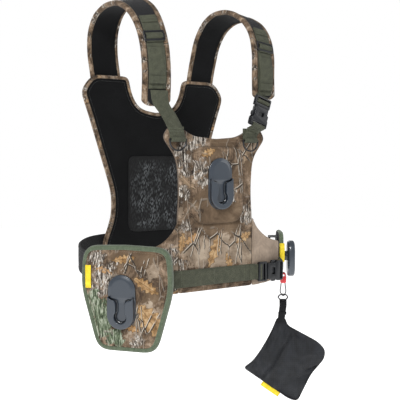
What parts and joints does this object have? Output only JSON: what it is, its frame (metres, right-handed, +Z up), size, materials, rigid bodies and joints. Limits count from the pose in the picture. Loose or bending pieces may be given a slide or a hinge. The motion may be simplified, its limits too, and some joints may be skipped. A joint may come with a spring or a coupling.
{
  "type": "camera carrying harness",
  "caption": "Padded chest harness with shoulder straps, a hip belt, chest and hip docking plates for cameras, side-release buckles and a tethered rain-cover pouch.",
  "frame": {"origin": "midway between the undersides of the two shoulder straps where they rest on the wearer's shoulders", "axes": "+Z up, -Y the way the wearer faces, +X the wearer's left"},
  "size_m": [0.6205, 0.3592, 0.9803],
  "materials": {
    "camo": null,
    "lining": "black spacer mesh and brushed lining cloth",
    "foam": "closed-cell foam inside the panels",
    "olive_webbing": "woven olive webbing",
    "green_binding": "ribbed sage-green binding tape",
    "black_plastic": "moulded acetal with a fine grain",
    "dock_plastic": "semi-gloss moulded nylon, dark blue-grey",
    "black_steel": "black coated steel wire",
    "yellow_tag": "plain yellow woven tag",
    "red_clip": "red moulded plastic",
    "black_nylon": "coated black ripstop nylon"
  },
  "bodies": {
    "harness": {"chest_shell": "camo", "chest_foam": "foam", "chest_lining": "lining", "chest_boss_pad": "camo", "chest_dock_plate": "dock_plastic", "chest_dock_rail": "dock_plastic", "chest_stiffener": "black_plastic", "back_lining": "lining", "back_foam": "foam", "back_shell": "camo", "back_mesh": "lining", "waist_webbing_front": "olive_webbing", "chest_wing_right": "camo", "ring_tab_right": "olive_webbing", "chest_wing_left": "camo", "ring_tab_left": "olive_webbing", "shoulder_pad_right": "camo", "shoulder_lining_right": "lining", "strap_webbing_right": "olive_webbing", "webbing_tail_right": "olive_webbing", "shoulder_pad_left": "camo", "shoulder_lining_left": "lining", "strap_webbing_left": "olive_webbing", "webbing_tail_left": "olive_webbing", "lower_webbing_right": "olive_webbing", "lower_webbing_left": "olive_webbing", "hip_belt_right": "lining", "hip_belt_left": "lining", "side_webbing_left": "olive_webbing", "shoulder_buckle_socket": "black_plastic", "waist_buckle_socket": "black_plastic", "holster_hanger": "black_plastic", "hip_hanger": "black_plastic"},
    "shoulder_plug": {"shoulder_buckle_plug": "black_plastic"},
    "shoulder_prong_a": {"shoulder_buckle_prong_a": "black_plastic"},
    "shoulder_prong_b": {"shoulder_buckle_prong_b": "black_plastic"},
    "waist_plug": {"waist_buckle_plug": "black_plastic"},
    "waist_prong_a": {"waist_buckle_prong_a": "black_plastic"},
    "waist_prong_b": {"waist_buckle_prong_b": "black_plastic"},
    "glide_right": {"tri_glide_right": "black_plastic"},
    "glide_left": {"tri_glide_left": "black_plastic"},
    "ring_right": {"chest_ring_right": "black_steel"},
    "ring_left": {"chest_ring_left": "black_steel"},
    "holster": {"holster_pad": "camo", "holster_binding": "green_binding", "holster_backplate": "black_plastic", "holster_dock_plate": "dock_plastic", "holster_dock_rail": "dock_plastic", "holster_tag": "yellow_tag"},
    "hip_dock_pad": {"hip_pad": "camo", "hip_binding": "green_binding", "hip_dock": "dock_plastic", "hip_tag": "yellow_tag"},
    "tether": {"tether_connector": "red_clip", "tether_cord": "black_nylon"},
    "pouch": {"tether_ring": "black_steel", "pouch_webbing": "black_nylon", "pouch": "black_nylon", "pouch_tag": "yellow_tag"}
  },
  "joints": [
    {"name": "shoulder_plug_slide", "type": "slide", "parent": "harness", "child": "shoulder_plug", "axis": [0.2917, 0.0204, 0.9563], "range_m": [0, 0.026]},
    {"name": "shoulder_prong_a_squeeze", "type": "hinge", "parent": "shoulder_plug", "child": "shoulder_prong_a", "pos_m": [0.09471, -0.18808, -0.23118], "axis": [0.0698, -0.9976, 0], "range_deg": [0, 6], "stiffness_Nm_per_rad": 1},
    {"name": "shoulder_prong_b_squeeze", "type": "hinge", "parent": "shoulder_plug", "child": "shoulder_prong_b", "pos_m": [0.12619, -0.18588, -0.24082], "axis": [-0.0698, 0.9976, 0], "range_deg": [0, 6], "stiffness_Nm_per_rad": 1},
    {"name": "waist_plug_slide", "type": "slide", "parent": "harness", "child": "waist_plug", "axis": [-1, 0, 0], "range_m": [0, 0.026]},
    {"name": "waist_prong_a_squeeze", "type": "hinge", "parent": "waist_plug", "child": "waist_prong_a", "pos_m": [0.134, -0.1793, -0.6325], "axis": [0, -1, 0], "range_deg": [0, 6], "stiffness_Nm_per_rad": 1},
    {"name": "waist_prong_b_squeeze", "type": "hinge", "parent": "waist_plug", "child": "waist_prong_b", "pos_m": [0.134, -0.1793, -0.5995], "axis": [0, 1, 0], "range_deg": [0, 6], "stiffness_Nm_per_rad": 1},
    {"name": "glide_right_slide", "type": "slide", "parent": "harness", "child": "glide_right", "axis": [-0.0218, 0.3555, 0.9344], "range_m": [-0.008, 0.012]},
    {"name": "glide_left_slide", "type": "slide", "parent": "harness", "child": "glide_left", "axis": [0.1313, 0.3523, 0.9266], "range_m": [-0.008, 0.012]},
    {"name": "ring_right_turn", "type": "hinge", "parent": "harness", "child": "ring_right", "pos_m": [-0.106, -0.177, -0.312], "axis": [-1, 0, 0], "range_deg": [0, 110]},
    {"name": "ring_left_turn", "type": "hinge", "parent": "harness", "child": "ring_left", "pos_m": [0.088, -0.177, -0.312], "axis": [-1, 0, 0], "range_deg": [0, 110]},
    {"name": "holster_swing", "type": "hinge", "parent": "harness", "child": "holster", "pos_m": [-0.20847, -0.14421, -0.552], "axis": [-0.6428, 0.766, 0], "range_deg": [0, 35]},
    {"name": "hip_pad_swing", "type": "hinge", "parent": "harness", "child": "hip_dock_pad", "pos_m": [0.229, -0.103, -0.541], "axis": [-0.5446, -0.8387, 0], "range_deg": [0, 30]},
    {"name": "tether_swing", "type": "hinge", "parent": "hip_dock_pad", "child": "tether", "pos_m": [0.2415, -0.1113, -0.637], "axis": [0.5446, 0.8387, 0], "range_deg": [-15, 25]},
    {"name": "pouch_swing", "type": "hinge", "parent": "tether", "child": "pouch", "pos_m": [0.2415, -0.1113, -0.6955], "axis": [0.8387, -0.5446, 0], "range_deg": [-25, 25]}
  ],
  "couplings": [
    {"joint": "shoulder_prong_b_squeeze", "follows": "shoulder_prong_a_squeeze", "ratio": 1},
    {"joint": "waist_prong_b_squeeze", "follows": "waist_prong_a_squeeze", "ratio": 1}
  ]
}
